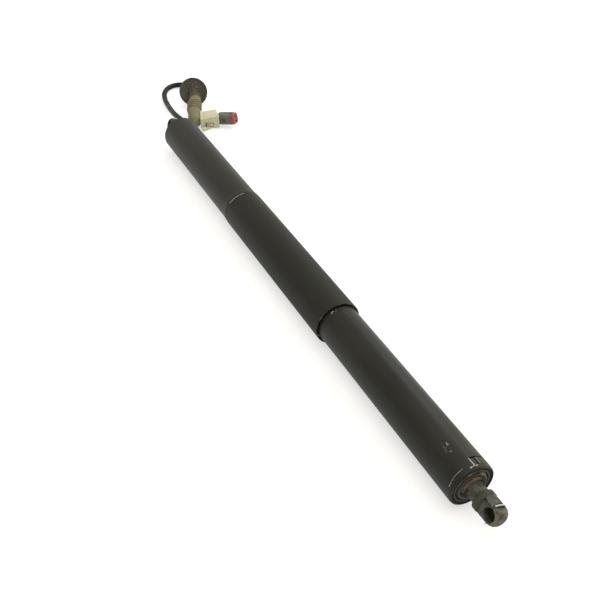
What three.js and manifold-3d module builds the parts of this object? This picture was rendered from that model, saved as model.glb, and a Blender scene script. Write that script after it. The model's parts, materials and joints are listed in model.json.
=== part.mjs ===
// Powered tailgate strut: an electric spindle drive in three telescoping tubes, with a ball
// socket at each end and a short harness at the motor end.
// Millimetres. +X runs from the motor end to the rod end and +Z is up. The strut lies on its
// sleeve, fully extended, with the origin under the middle of its length.
import * as THREE from "three";
import { mergeVertices } from "three/addons/utils/BufferGeometryUtils.js";
import Module from "manifold-3d";

const wasm = await Module();
wasm.setup();

// ---------------------------------------------------------------- driving dimensions
const SLEEVE_R = 20; // outer radius of the middle sleeve
const MOTOR_TUBE_R = 19.1; // outer radius of the tube round the motor
const ROD_TUBE_R = 17.75; // outer radius of the sliding tube
const TIP_X = 302.4; // each socket's tip, either way from the middle
const MOTOR_RIM_X = -273; // open end of the motor tube
const SHOULDER_X = -97; // where the sleeve meets the motor tube's flared shoulder
const MOUTH_X = 90; // where the sliding tube leaves the sleeve
const ROD_RIM_X = 271.5; // rolled lip of the sliding tube

const TUBE_SIDES = 32; // flats on the large tubes: one of them lies underneath
const RING_SIDES = 24; // flats on the rings and rods inside
const TUBE_WALL = 1.1;
const SLEEVE_WALL = 1.3;
const AXIS_Z = SLEEVE_R * Math.cos(Math.PI / TUBE_SIDES);

// ball sockets
const BALL_R = 5.05; // cavity for a 10 mm ball
const SOCKET_R = 8.2;
const NECK_R = 6.7;
const STUD_R = 4;
const BALL_FROM_TIP = 6.9; // ball centre to the socket's tip
const LEDGE_FROM_TIP = 20.7; // where the neck meets the wider body
const MOUTH_ANGLE = 158; // the ball goes in here: degrees from +Y towards +Z
const SLOT_ANGLE = 113;
const SEAT_FROM_AXIS = 6; // flat face round the ball's mouth
const CLIP_WIRE_R = 0.55;

// epicyclic gearbox
const GEAR_MODULE = 0.75;
const SUN_TEETH = 12;
const PLANET_TEETH = 12;
const RING_TEETH = 36;
const PLANET_ORBIT = (GEAR_MODULE * (SUN_TEETH + PLANET_TEETH)) / 2;
const GEARS_X = [-163, -151];

// spring between the two ends
const SPRING_X = [-98.4, 245.4];
const SPRING_R = 14.9;
const SPRING_WIRE_R = 1.35;
const SPRING_TURNS = 24;
const SPRING_STEPS = 9; // straight lengths in a turn

// harness
const CABLE_R = 3.1;
const CABLE_EXIT = [-288.3, 13, AXIS_Z];
const DISC_R = 17.4;
const DISC_AT = new THREE.Vector3(-374, 53.5, 17);
const DISC_FACES = new THREE.Vector3(0.781, -0.106, 0.615).normalize();
const BOOT_R = 7.9;
const BOOT_AT = new THREE.Vector3(-317, 32.6, 8.4);
const NECK_AT = new THREE.Vector3(-338, 39.9, 8.9);
const SHELL_AT = new THREE.Vector3(-314.6, 49.2, 0.4);
const SHELL_YAW = 70; // degrees from +X towards +Y
const SHELL_BACK = 10.2; // wire side of the shell, from its middle
const PLUG_AT = [-306.8, 63, 9.2];
const PLUG_YAW = 41;
const PLUG_PITCH = 10;

// ---------------------------------------------------------------- finishes
const finish = (color, roughness, metalness) => new THREE.MeshStandardMaterial({
  color, roughness, metalness, flatShading: true,
});
const FINISH = {
  paint: finish(0x2a2a22, 0.55, 0.2),
  sleeve: finish(0x2e2e26, 0.6, 0.1),
  plastic: finish(0x36372d, 0.65, 0),
  steel: finish(0x8b8a84, 0.4, 1),
  zinc: finish(0xa4a39b, 0.35, 1),
  rusty: finish(0x7d6a4c, 0.8, 0.4),
  magnet: finish(0x35363a, 0.7, 0.3),
  copper: finish(0xa8643c, 0.35, 1),
  brass: finish(0xb08d4a, 0.35, 1),
  nylon: finish(0xd8d4c0, 0.5, 0),
  rubber: finish(0x1c1c18, 0.8, 0),
  cable: finish(0x181812, 0.6, 0),
  grommet: finish(0x4b4a3a, 0.75, 0),
  boot: finish(0x868056, 0.7, 0),
  cream: finish(0xc6c09c, 0.6, 0),
  green: finish(0x3e8450, 0.6, 0),
  grey: finish(0x5f5c50, 0.6, 0),
  red: finish(0xa2453c, 0.55, 0),
};

// ---------------------------------------------------------------- shape helpers
// A geometry as a solid: shared corners merged and slivers of no area left out.
function solid(geometry) {
  const bare = geometry.clone();
  bare.deleteAttribute("normal");
  bare.deleteAttribute("uv");
  const merged = mergeVertices(bare, 1e-4);
  const index = merged.index.array;
  const kept = [];
  for (let i = 0; i < index.length; i += 3) {
    const [a, b, c] = [index[i], index[i + 1], index[i + 2]];
    if (a !== b && b !== c && c !== a) kept.push(a, b, c);
  }
  return new wasm.Manifold(new wasm.Mesh({
    numProp: 3,
    vertProperties: merged.attributes.position.array,
    triVerts: new Uint32Array(kept),
  }));
}

// A closed outline of [x, r] points, turned about the X axis.
function turned(outline, sides = RING_SIDES) {
  const area = outline.reduce((sum, [x, r], i) => {
    const [nx, nr] = outline[(i + 1) % outline.length];
    return sum + x * nr - nx * r;
  }, 0);
  const ordered = area > 0 ? [...outline].reverse() : outline;
  const points = [...ordered, ordered[0]].map(([x, r]) => new THREE.Vector2(r, x));
  return solid(new THREE.LatheGeometry(points, sides, Math.PI / sides).rotateZ(-Math.PI / 2));
}

const ring = (x0, x1, r0, r1, sides) => turned([[x0, r0], [x1, r0], [x1, r1], [x0, r1]], sides);
const rod = (x0, x1, r, sides) => turned([[x0, 0], [x1, 0], [x1, r], [x0, r]], sides);

// Points of an arc round the X axis, as [y, z].
function arc(radius, from, to, steps) {
  return Array.from({ length: steps + 1 }, (_, i) => {
    const a = THREE.MathUtils.degToRad(from + ((to - from) * i) / steps);
    return [radius * Math.cos(a), radius * Math.sin(a)];
  });
}

// An outline of [y, z] points, drawn out along X.
function prism(outline, x0, x1, hole) {
  const shape = new THREE.Shape(outline.map(([y, z]) => new THREE.Vector2(y, z)));
  if (hole) shape.holes.push(new THREE.Path(hole.map(([y, z]) => new THREE.Vector2(y, z))));
  const along = new THREE.ExtrudeGeometry(shape, { depth: x1 - x0, bevelEnabled: false });
  const toX = new THREE.Matrix4().set(0, 0, 1, x0, 1, 0, 0, 0, 0, 1, 0, 0, 0, 0, 0, 1);
  return solid(along.applyMatrix4(toX));
}

// A block between two corners.
function block(low, high) {
  const size = high.map((h, i) => h - low[i]);
  const middle = high.map((h, i) => (h + low[i]) / 2);
  return solid(new THREE.BoxGeometry(...size).translate(...middle));
}

// A piece made along +X, moved so that it starts at a point and runs in a direction.
function aimed(made, at, direction) {
  const turn = new THREE.Quaternion().setFromUnitVectors(new THREE.Vector3(1, 0, 0), direction);
  return made.transform(new THREE.Matrix4().compose(at, turn, new THREE.Vector3(1, 1, 1)).elements);
}

// A round bar from one point to another, with its own radius at each end.
function bar(from, to, r0, r1, sides) {
  const length = from.distanceTo(to);
  const straight = turned([[0, 0], [length, 0], [length, r1], [0, r0]], sides);
  return aimed(straight, from, to.clone().sub(from).normalize());
}

// A round section drawn along a curve.
function wire(curve, radius, sides, steps) {
  const section = new THREE.Shape(
    arc(radius, 0, 360, sides).slice(0, sides).map(([y, z]) => new THREE.Vector2(y, z)));
  return solid(new THREE.ExtrudeGeometry(section, { steps, extrudePath: curve }));
}

const union = (...solids) => solids.reduce((all, one) => all.add(one));

// ---------------------------------------------------------------- the assembly
const strut = new THREE.Group();
const onAxis = new THREE.Group();
onAxis.position.z = AXIS_Z;
strut.add(onAxis);

function place(name, made, material, parent = onAxis) {
  const { vertProperties, triVerts } = made.getMesh();
  const geometry = new THREE.BufferGeometry();
  geometry.setAttribute("position", new THREE.BufferAttribute(vertProperties, 3));
  geometry.setIndex(new THREE.BufferAttribute(triVerts, 1));
  geometry.computeVertexNormals();
  const mesh = new THREE.Mesh(geometry, material);
  mesh.name = name;
  parent.add(mesh);
  return mesh;
}

// ---------------------------------------------------------------- tubes
// The motor tube flares to a shoulder, past which a narrower spigot holds the sleeve.
function motorTube() {
  const inner = MOTOR_TUBE_R - TUBE_WALL;
  const spigot = SLEEVE_R - SLEEVE_WALL - 0.3;
  return turned([
    [MOTOR_RIM_X, inner], [SHOULDER_X + 3.2, inner], [SHOULDER_X + 3.2, spigot],
    [SHOULDER_X - 0.3, spigot], [SHOULDER_X - 0.3, SLEEVE_R - 0.2], [SHOULDER_X - 3, SLEEVE_R - 0.25],
    [SHOULDER_X - 6, SLEEVE_R - 0.5], [SHOULDER_X - 10, MOTOR_TUBE_R],
    [MOTOR_RIM_X + 0.8, MOTOR_TUBE_R], [MOTOR_RIM_X, MOTOR_TUBE_R - 0.6],
  ], TUBE_SIDES);
}

function sleeve() {
  const inner = SLEEVE_R - SLEEVE_WALL;
  return turned([
    [SHOULDER_X, inner], [MOUTH_X, inner], [MOUTH_X, SLEEVE_R - 0.5], [MOUTH_X - 0.7, SLEEVE_R],
    [SHOULDER_X + 0.5, SLEEVE_R], [SHOULDER_X, SLEEVE_R - 0.3],
  ], TUBE_SIDES);
}

const NOTCH = { x: [ROD_RIM_X - 10.5, ROD_RIM_X - 3], angles: [37, 85.5] };

// The lip rolls inwards, and a window beside it shows the end cap's lug.
function rodTube() {
  const inner = ROD_TUBE_R - TUBE_WALL;
  const tube = turned([
    [MOUTH_X - 28, inner], [ROD_RIM_X - 1.2, inner], [ROD_RIM_X - 0.6, inner - 0.5],
    [ROD_RIM_X, inner - 0.3], [ROD_RIM_X, inner + 0.3], [ROD_RIM_X - 0.5, ROD_TUBE_R - 0.35],
    [ROD_RIM_X - 1.8, ROD_TUBE_R], [MOUTH_X - 28, ROD_TUBE_R],
  ], TUBE_SIDES);
  return tube.subtract(sector(...NOTCH.x, inner - 2, ROD_TUBE_R + 2, ...NOTCH.angles, 5));
}

// A piece of a ring between two angles, in degrees from +Y towards +Z.
function sector(x0, x1, r0, r1, from, to, steps) {
  const outline = [...arc(r1, from, to, steps), ...arc(r0, from, to, steps).reverse()];
  return prism(outline, x0, x1);
}

place("motor_tube", motorTube(), FINISH.paint);
place("sleeve", sleeve(), FINISH.sleeve);
place("mouth_bush", ring(MOUTH_X - 12, MOUTH_X - 4, 18, 18.45, TUBE_SIDES), FINISH.nylon);
place("rod_tube", rodTube(), FINISH.paint);
place("slide_bush", ring(MOUTH_X - 28, MOUTH_X - 20, 17.95, 18.45, TUBE_SIDES), FINISH.nylon);

// ---------------------------------------------------------------- ball sockets
// A socket with its tip at +X. Its neck ends in a stud that screws into an end cap.
function socket(neck) {
  const ball = TIP_X - BALL_FROM_TIP;
  const ledge = TIP_X - LEDGE_FROM_TIP;
  const a = THREE.MathUtils.degToRad(MOUTH_ANGLE);
  const out = new THREE.Vector3(0, Math.cos(a), Math.sin(a));
  const at = new THREE.Vector3(ball, 0, 0);
  const body = turned([
    [neck - 14, 0], [TIP_X, 0], [TIP_X, 3.4], [TIP_X - 0.7, 5.2], [TIP_X - 2.2, 6.8],
    [TIP_X - 4.2, 7.8], [TIP_X - 6.5, SOCKET_R], [ledge + 0.8, SOCKET_R],
    [ledge, SOCKET_R - 0.7], [ledge, NECK_R],
    [neck, NECK_R], [neck, STUD_R], [neck - 14, STUD_R],
  ], 20);
  const cavity = solid(new THREE.SphereGeometry(BALL_R, 14, 8).translate(ball, 0, 0));
  const way = bar(at, at.clone().addScaledVector(out, 12), BALL_R - 0.15, BALL_R - 0.15, 20);
  const seat = block([ball - 10.5, -9, SEAT_FROM_AXIS], [TIP_X + 1, 9, 12])
    .rotate([MOUTH_ANGLE - 90, 0, 0]);
  const groove = ring(ball - 0.9, ball + 0.9, SOCKET_R - 0.85, SOCKET_R + 2);
  const slot = block([ledge + 5, -0.6, SOCKET_R - 1.4], [ball - 1.6, 0.6, SOCKET_R + 1])
    .rotate([SLOT_ANGLE - 90, 0, 0]);
  return [cavity, way, seat, groove, slot].reduce((all, cut) => all.subtract(cut), body);
}

// The wire clip is a U that closes over the ball from the side away from its mouth.
function clip() {
  const x = TIP_X - BALL_FROM_TIP;
  const radius = SOCKET_R - 0.15;
  const leg = 4;
  const bow = arc(radius, 180, 360, 12).map(([y, z]) => new THREE.Vector3(x, y, z));
  const path = new THREE.CatmullRomCurve3([
    new THREE.Vector3(x, -radius, leg), ...bow, new THREE.Vector3(x, radius, leg)]);
  return wire(path, CLIP_WIRE_R, 6, 18).rotate([MOUTH_ANGLE - 90, 0, 0]);
}

// Turned end for end, with the ball's mouth on the same side as before.
const flip = (made) => made.rotate([0, 0, 180]).rotate([2 * MOUTH_ANGLE - 180, 0, 0]);

place("rod_socket", socket(ROD_RIM_X - 3.2), FINISH.plastic);
place("rod_clip", clip(), FINISH.zinc);
place("motor_socket", flip(socket(-MOTOR_RIM_X + 0.5)), FINISH.plastic);
place("motor_clip", flip(clip()), FINISH.zinc);

// ---------------------------------------------------------------- rod end
const CAP_R = ROD_TUBE_R - TUBE_WALL - 0.3;
const CAP_FACE = ROD_RIM_X - 3.5;

// Stepped disc with two grooves, and a lug that fills most of the tube's window.
function rodEndCap() {
  const face = turned([
    [CAP_FACE - 21, 4.4], [CAP_FACE, 4.4], [CAP_FACE, 9.4], [CAP_FACE + 4, 9.4],
    [CAP_FACE + 4, 11.5], [CAP_FACE + 1.3, 12.2], [CAP_FACE + 1.3, 12.9], [CAP_FACE + 3.1, 13.1],
    [CAP_FACE + 3.1, 14.4], [CAP_FACE + 1.2, 14.5], [CAP_FACE + 1.2, 15.1],
    [CAP_FACE + 2.6, 15.2], [CAP_FACE + 2.6, 15.7], [CAP_FACE + 1.2, CAP_R], [CAP_FACE - 21, CAP_R],
  ], TUBE_SIDES);
  const lug = sector(NOTCH.x[0] + 0.5, NOTCH.x[1] - 0.4, CAP_R - 1, ROD_TUBE_R - 0.25, 38, 70, 4);
  return face.add(lug);
}

place("rod_end_cap", rodEndCap(), FINISH.plastic);
place("rod_washer", ring(CAP_FACE + 0.3, CAP_FACE + 4.8, NECK_R + 0.3, 9.1), FINISH.rusty);
place("push_tube", ring(66.4, CAP_FACE - 21.4, 8.2, 9.4), FINISH.steel);
place("spindle_nut", ring(52, 66, 5.5, 11.1), FINISH.nylon);

// ---------------------------------------------------------------- motor end
const CABLE_Y = CABLE_EXIT[1];

function motorEndCap() {
  const x = MOTOR_RIM_X;
  const cap = turned([
    [x + 15, 4.4], [x - 0.2, 4.4], [x - 0.2, 8.6], [x + 1.6, 8.8], [x + 1.6, 16.2],
    [x + 0.4, 16.4], [x + 0.4, 17.2], [x + 1.2, 17.6], [x + 15, 17.6],
  ], TUBE_SIDES);
  const hole = bar(new THREE.Vector3(x - 5, CABLE_Y, 0), new THREE.Vector3(x + 20, CABLE_Y, 0),
    4.15, 4.15, 16);
  return cap.subtract(hole);
}

function cableGland() {
  const x = MOTOR_RIM_X;
  return turned([
    [x + 5, 0], [x + 5, 3.85], [x - 0.6, 3.85], [x - 0.6, 4.45], [x - 2.2, 4.45],
    [x - 2.6, 4.1], [CABLE_EXIT[0] + 0.3, 3.55], [CABLE_EXIT[0] + 0.3, 0],
  ], 16).translate([0, CABLE_Y, 0]);
}

place("motor_end_cap", motorEndCap(), FINISH.plastic);
place("cable_gland", cableGland(), FINISH.rubber);
place("damper_pad", ring(-257, -251.5, 4.8, 17.1), FINISH.rubber);

// ---------------------------------------------------------------- motor
function armatureCore() {
  const slots = Array.from({ length: 8 }, (_, i) =>
    block([-235, -0.9, 7], [-184, 0.9, 14]).rotate([i * 45, 0, 0]));
  return slots.reduce((all, cut) => all.subtract(cut), ring(-232, -186, 2.8, 12.6, 32));
}

place("brush_holder", ring(-251.2, -243.5, 3, 17), FINISH.nylon);
for (const [name, side] of [["brush_left", -1], ["brush_right", 1]]) {
  const brush = block([-242.8, 7.6, -2.2], [-238, 14, 2.2]).rotate([side > 0 ? 0 : 180, 0, 0]);
  place(name, brush, FINISH.magnet);
}
place("motor_can", ring(-243.2, -172, 15.7, 17), FINISH.steel);
place("magnet_upper", sector(-234, -184, 13.3, 15.2, 15, 165, 10), FINISH.magnet);
place("magnet_lower", sector(-234, -184, 13.3, 15.2, 195, 345, 10), FINISH.magnet);
place("armature_shaft", rod(-250.5, -150, 2.2, 12), FINISH.steel);
place("armature_core", armatureCore(), FINISH.copper);
place("commutator", ring(-242, -235.5, 2.6, 7, 16), FINISH.copper);
place("motor_front_plate", ring(-171.6, -167, 5.8, 17), FINISH.zinc);

// ---------------------------------------------------------------- epicyclic gearbox
// Straight-sided teeth, narrower than their spaces: a tooth is centred on +Y.
function gearOutline(teeth, inward) {
  const pitch = 360 / teeth;
  const middle = (GEAR_MODULE * teeth) / 2;
  const tip = middle + (inward ? -0.8 : 0.8) * GEAR_MODULE;
  const root = middle + (inward ? 1.05 : -1.05) * GEAR_MODULE;
  const corners = [[root, -0.27], [tip, -0.12], [tip, 0.12], [root, 0.27]];
  return Array.from({ length: teeth }, (_, i) =>
    corners.map(([r, share]) => arc(r, (i + share) * pitch, 360, 1)[0])).flat();
}

const circle = (r, sides) => arc(r, 0, 360, sides).slice(0, sides);
const ringGear = prism(circle(17, 32), GEARS_X[0] - 3, GEARS_X[1] + 2, gearOutline(RING_TEETH, true));
const sunGear = prism(gearOutline(SUN_TEETH), ...GEARS_X, circle(2.5, 12));
const planetGear = prism(gearOutline(PLANET_TEETH), ...GEARS_X, circle(2.1, 12))
  .rotate([180 / PLANET_TEETH, 0, 0]);

function planetCarrier() {
  const pins = [0, 120, 240].map((a) =>
    rod(GEARS_X[0], -148, 1.8, 12).translate([0, PLANET_ORBIT, 0]).rotate([a, 0, 0]));
  return union(rod(-148.6, -144.5, 12.3), rod(-145, -138.4, 6), ...pins);
}

place("ring_gear", ringGear, FINISH.nylon);
place("sun_gear", sunGear, FINISH.brass);
for (const [i, angle] of [0, 120, 240].entries()) {
  const planet = planetGear.translate([0, PLANET_ORBIT, 0]).rotate([angle, 0, 0]);
  place(`planet_gear_${i + 1}`, planet, FINISH.nylon);
}
place("planet_carrier", planetCarrier(), FINISH.steel);

// ---------------------------------------------------------------- brake, bearing and spindle
function bearingCage() {
  const balls = Array.from({ length: 6 }, (_, i) =>
    solid(new THREE.IcosahedronGeometry(1.7, 0).translate(-121.5, 0, 11.5)).rotate([i * 60, 0, 0]));
  return union(ring(-123, -120, 10.9, 12.1), ...balls);
}

place("brake_ring", ring(-137, -129.5, 9.8, 16.9), FINISH.rubber);
place("drive_coupling", rod(-138, -128.2, 9.2), FINISH.zinc);
place("bearing_outer_race", ring(-126, -117, 13.6, 17), FINISH.steel);
place("bearing_cage", bearingCage(), FINISH.brass);
place("bearing_inner_race", ring(-126, -117, 6.5, 9.4), FINISH.steel);
place("bearing_retainer", ring(-116.4, -114.6, 14.2, 17.3), FINISH.steel);
place("spindle", turned([
  [-127.8, 0], [68, 0], [68, 4], [66.5, 5], [-112.6, 5], [-112.6, 6.1], [-127.8, 6.1],
]), FINISH.steel);

// ---------------------------------------------------------------- spring and its seat
place("spring_seat", turned([
  [-112, 6.6], [-104, 6.6], [-104, 11.6], [-99, 11.6], [-99, 17.3], [-107, 17.3], [-107, 10],
  [-112, 10],
]), FINISH.plastic);
place("guide_tube", ring(-98.7, 80, 11.6, 12.5), FINISH.nylon);

class Helix extends THREE.Curve {
  getPoint(t) {
    const a = 2 * Math.PI * SPRING_TURNS * t;
    const [x0, x1] = [SPRING_X[0] + SPRING_WIRE_R, SPRING_X[1] - SPRING_WIRE_R];
    return new THREE.Vector3(x0 + (x1 - x0) * t, SPRING_R * Math.cos(a), SPRING_R * Math.sin(a));
  }
}
place("return_spring", wire(new Helix(), SPRING_WIRE_R, 5, SPRING_TURNS * SPRING_STEPS), FINISH.steel);

// ---------------------------------------------------------------- harness
const CABLE_ROUTE = [
  CABLE_EXIT, [-300, 12.9, 19.4], [-314, 12.6, 17.6], [-334, 13.6, 13.8], [-356, 16.2, 9.6],
  [-378, 19.6, 6], [-399, 23.6, 4], [-416, 29.6, 3.5], [-427, 39, 3.5], [-430, 50, 3.5],
  [-424.5, 59.5, 3.8], [-413, 63.6, 4.2], [-401, 61.2, 4.6], [-390.5, 56.6, 5.8],
];
const HUB_LENGTH = 8;
const CABLE_END = DISC_AT.clone().addScaledVector(DISC_FACES, -(2.3 + HUB_LENGTH + 0.9));

function cable() {
  const points = CABLE_ROUTE.map((p) => new THREE.Vector3(...p));
  return wire(new THREE.CatmullRomCurve3([...points, CABLE_END]), CABLE_R, 10, 20);
}

// Disc with a half-round ridge, a hub behind for the cable, and a ribbed neck below.
function grommet() {
  const down = new THREE.Vector3(0, 0, -1).projectOnPlane(DISC_FACES).normalize();
  const at = (out, below) => DISC_AT.clone().addScaledVector(DISC_FACES, out)
    .addScaledVector(down, below);
  const disc = bar(at(-2.3, 0), at(2.3, 0), DISC_R, DISC_R - 0.8, 32);
  const ridge = bar(at(1.4, -9), at(1.4, 10), 4.6, 5.4, 12);
  const hub = bar(at(-2, 0), at(-2.3 - HUB_LENGTH, 0), 6.5, 4.2, 16);
  const start = at(0.4, 9.6);
  start.z = NECK_AT.z;
  const length = start.distanceTo(NECK_AT);
  const pitch = 4.2;
  const ribs = [0, 1, 2, 3].flatMap((i) => {
    const x = length - (4 - i) * pitch;
    return [[x, 7.7], [x + 0.5, 8.7], [x + pitch - 1.3, 8.7], [x + pitch - 0.8, 7.7]];
  });
  const outline = [[0, 0], [0, 7.7], ...ribs, [length, 7.7], [length, 0]];
  const neck = aimed(turned(outline, 16), start, NECK_AT.clone().sub(start).normalize());
  return union(disc, ridge, hub, neck);
}

// Smooth boot from the neck to a rounded elbow against the shell.
function boot(radius) {
  const towards = NECK_AT.clone().sub(BOOT_AT).normalize();
  const top = NECK_AT.clone().addScaledVector(towards, -0.7);
  const elbow = solid(new THREE.SphereGeometry(radius, 16, 10).translate(...BOOT_AT));
  return union(bar(BOOT_AT, top, radius, radius, 16), elbow);
}

// The shell's own frame: X towards the plug, Y away from the strut's side.
const shellFrame = new THREE.Group();
shellFrame.position.copy(SHELL_AT);
shellFrame.rotation.z = THREE.MathUtils.degToRad(SHELL_YAW);
strut.add(shellFrame);

const plugFrame = new THREE.Group();
plugFrame.position.set(...PLUG_AT);
plugFrame.rotation.order = "ZYX";
plugFrame.rotation.z = THREE.MathUtils.degToRad(PLUG_YAW);
plugFrame.rotation.y = -THREE.MathUtils.degToRad(PLUG_PITCH);
strut.add(plugFrame);
strut.updateMatrixWorld(true);

const LATCH_POCKET = { x: [-4.4, 5.6], z: [2.2, 7.6] };

// Cream shell: a flange at the wire side, a body that rises to the plug side, a tail
// towards the strut and a pocket for the latch.
function connectorShell() {
  const side = [[-8.5, 0], [14, 0], [14, 15.9], [-8.5, 12.4]];
  const length = prism(side, -10.4, 10.4)
    .transform([0, -1, 0, 0, 1, 0, 0, 0, 0, 0, 1, 0, 0, 0, 0, 1]);
  const face = block([0, -20, -5], [10, 20, 20]).rotate([0, 0, 8]).translate([11, 0, 0]);
  const body = length.subtract(face);
  const flange = block([-SHELL_BACK + 0.2, -11.4, 0], [-7, 11.4, 13.4]);
  const tail = solid(new THREE.ExtrudeGeometry(new THREE.Shape([
    new THREE.Vector2(-9.4, -10), new THREE.Vector2(-7.4, -17.5), new THREE.Vector2(3, -10),
  ]), { depth: 3.2, bevelEnabled: false }).translate(0, 0, 0.2));
  const pocket = block([LATCH_POCKET.x[0], -12, LATCH_POCKET.z[0]],
    [LATCH_POCKET.x[1], -7.6, LATCH_POCKET.z[1]]);
  const bore = block([2.4, -7.2, 2.6], [16, 7.2, 11]);
  const toShell = shellFrame.matrixWorld.clone().invert();
  const seal = roundedBar(12.9, 13.3, 3.6, -4.2, 9);
  const plug = roundedBar(13.4, 13.4, 3.4, -0.4, 9);
  const inPlug = toShell.clone().multiply(plugFrame.matrixWorld);
  const cuts = [pocket, bore, boot(BOOT_R + 0.35).transform(toShell.elements),
    seal.transform(inPlug.elements), plug.transform(inPlug.elements)];
  return cuts.reduce((all, cut) => all.subtract(cut), union(body, flange, tail));
}

function roundedBar(width, height, radius, x0, x1) {
  const [y, z] = [width / 2 - radius, height / 2 - radius];
  const corners = [[y, z, 0], [-y, z, 90], [-y, -z, 180], [y, -z, 270]];
  const outline = corners.flatMap(([cy, cz, from]) =>
    arc(radius, from, from + 90, 3).map(([a, b]) => [a + cy, b + cz]));
  return prism(outline, x0, x1);
}

function connectorWedge() {
  const wells = [-3, 3].map((z) => block([1, -1.4, z - 1.6], [6, 1.4, z + 1.6]));
  return wells.reduce((all, cut) => all.subtract(cut), roundedBar(11.6, 12.2, 3, 0, 2.8));
}

place("harness_cable", cable(), FINISH.cable, strut);
place("grommet", grommet(), FINISH.grommet, strut);
place("harness_boot", boot(BOOT_R), FINISH.boot, strut);
place("connector_shell", connectorShell(), FINISH.cream, shellFrame);
place("connector_latch", block([LATCH_POCKET.x[0] + 1.6, -10.8, 2.8], [5, -8.2, 7]),
  FINISH.cream, shellFrame);
place("connector_seal", roundedBar(12.2, 12.6, 3.4, -3.8, -0.3), FINISH.green, plugFrame);
place("connector_housing", roundedBar(12.6, 12.6, 3, 0, 15.4), FINISH.grey, plugFrame);
place("connector_wedge", connectorWedge().translate([15.7, 0, 0]), FINISH.red, plugFrame);

export default strut;
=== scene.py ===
"""Powered tailgate strut: three telescoping tubes, a ball socket at each end and a short harness.

Shape helpers take millimetres in the frame of the CAD model and make meshes in metres.
"""
import json
import math

import bmesh
import bpy
from mathutils import Matrix, Vector, noise


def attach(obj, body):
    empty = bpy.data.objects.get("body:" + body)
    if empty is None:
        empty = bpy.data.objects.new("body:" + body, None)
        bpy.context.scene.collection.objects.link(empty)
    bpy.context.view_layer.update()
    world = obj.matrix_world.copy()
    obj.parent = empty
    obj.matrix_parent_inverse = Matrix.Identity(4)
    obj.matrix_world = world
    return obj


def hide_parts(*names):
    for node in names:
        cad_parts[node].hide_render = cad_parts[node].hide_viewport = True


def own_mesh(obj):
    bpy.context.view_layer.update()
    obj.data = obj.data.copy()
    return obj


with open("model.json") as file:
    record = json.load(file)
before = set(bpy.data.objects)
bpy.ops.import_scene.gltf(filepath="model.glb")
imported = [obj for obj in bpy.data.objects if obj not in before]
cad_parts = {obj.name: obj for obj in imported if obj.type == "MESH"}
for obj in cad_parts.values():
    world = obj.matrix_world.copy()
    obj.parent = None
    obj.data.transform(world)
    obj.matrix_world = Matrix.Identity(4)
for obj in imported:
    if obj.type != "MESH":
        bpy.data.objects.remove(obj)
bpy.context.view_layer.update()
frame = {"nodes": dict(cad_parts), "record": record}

MM = 0.001

# ---------------------------------------------------------------- driving dimensions, in mm
SIDES = 32  # flats on the CAD model's tubes, one of which lies underneath
AXIS_Z = 20 * math.cos(math.pi / SIDES)
SLEEVE_R = 19.9
MOTOR_TUBE_R = 19.1
ROD_TUBE_R = 17.75
TIP_X = 302.4
MOTOR_RIM_X = -273
SHOULDER_X = -97
MOUTH_X = 90
ROD_RIM_X = 271.5
BALL_R = 5.05
BALL_FROM_TIP = 6.9
LEDGE_FROM_TIP = 20.7
MOUTH_ANGLE = 158  # the ball goes in here: degrees from +Y towards +Z
SLOT_ANGLE = 113  # the keyhole slot beside the ball
FACET_ANGLE = 65  # the flat dark recess on the nose
SEAM_ANGLES = (84, 83)  # the tube's seam at the sleeve's mouth and at the rod end
WINDOW = (261.5, 268.5, 37, 85.5)  # from x, to x, from angle, to angle

SPRING_X = (-98.4, 245.4)
SPRING_R = 14.9
SPRING_WIRE_R = 1.35
SPRING_TURNS = 24

CABLE_R = 3.1
CABLE_EXIT = (-288.3, 13, AXIS_Z)
DISC_AT = Vector((-374, 53.5, 17))
DISC_FACES = Vector((0.781, -0.106, 0.615)).normalized()
DISC_DOWN = Vector((0, 0, -1)) - DISC_FACES * Vector((0, 0, -1)).dot(DISC_FACES)
DISC_DOWN.normalize()
NECK_AT = Vector((-338, 39.9, 8.9))
BOOT_AT = Vector((-317, 32.6, 8.4))
BOOT_R = 7.85
SHELL_AT = Vector((-314.6, 49.2, 0.4))
SHELL_YAW = math.radians(70)
PLUG_AT = Vector((-306.8, 63, 9.2))
PLUG_YAW = math.radians(41)
PLUG_PITCH = math.radians(10)


# ---------------------------------------------------------------- camera
AZIMUTH = math.radians(63.07)
ELEVATION = math.radians(39.57)
camera = bpy.data.objects.new("camera", bpy.data.cameras.new("camera"))
camera.data.lens = 48
camera.data.sensor_width = 36
camera.location = (0.5115, -0.2487, 0.4484)
camera.rotation_euler = (math.pi / 2 - ELEVATION, 0, AZIMUTH)
bpy.context.collection.objects.link(camera)
bpy.context.scene.camera = camera


# ---------------------------------------------------------------- pieces
def piece(made, body, slot, *nodes):
    """Makes a finished mesh or curve ride on its body, in place of the CAD nodes."""
    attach(made, body)
    if nodes:
        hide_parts(*nodes)
    return made


# ---------------------------------------------------------------- the cable comes first
CABLE_ROUTE = [
    CABLE_EXIT, (-300, 12.9, 19.4), (-314, 12.6, 17.6), (-334, 13.6, 13.8), (-356, 16.2, 9.6),
    (-378, 19.6, 6), (-399, 23.6, 4), (-416, 29.6, 3.5), (-427, 39, 3.5), (-430, 50, 3.5),
    (-424.5, 59.5, 3.8), (-413, 63.6, 4.2), (-401, 61.2, 4.6), (-390.5, 56.6, 5.8),
    DISC_AT - 11.2 * DISC_FACES,
]


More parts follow.
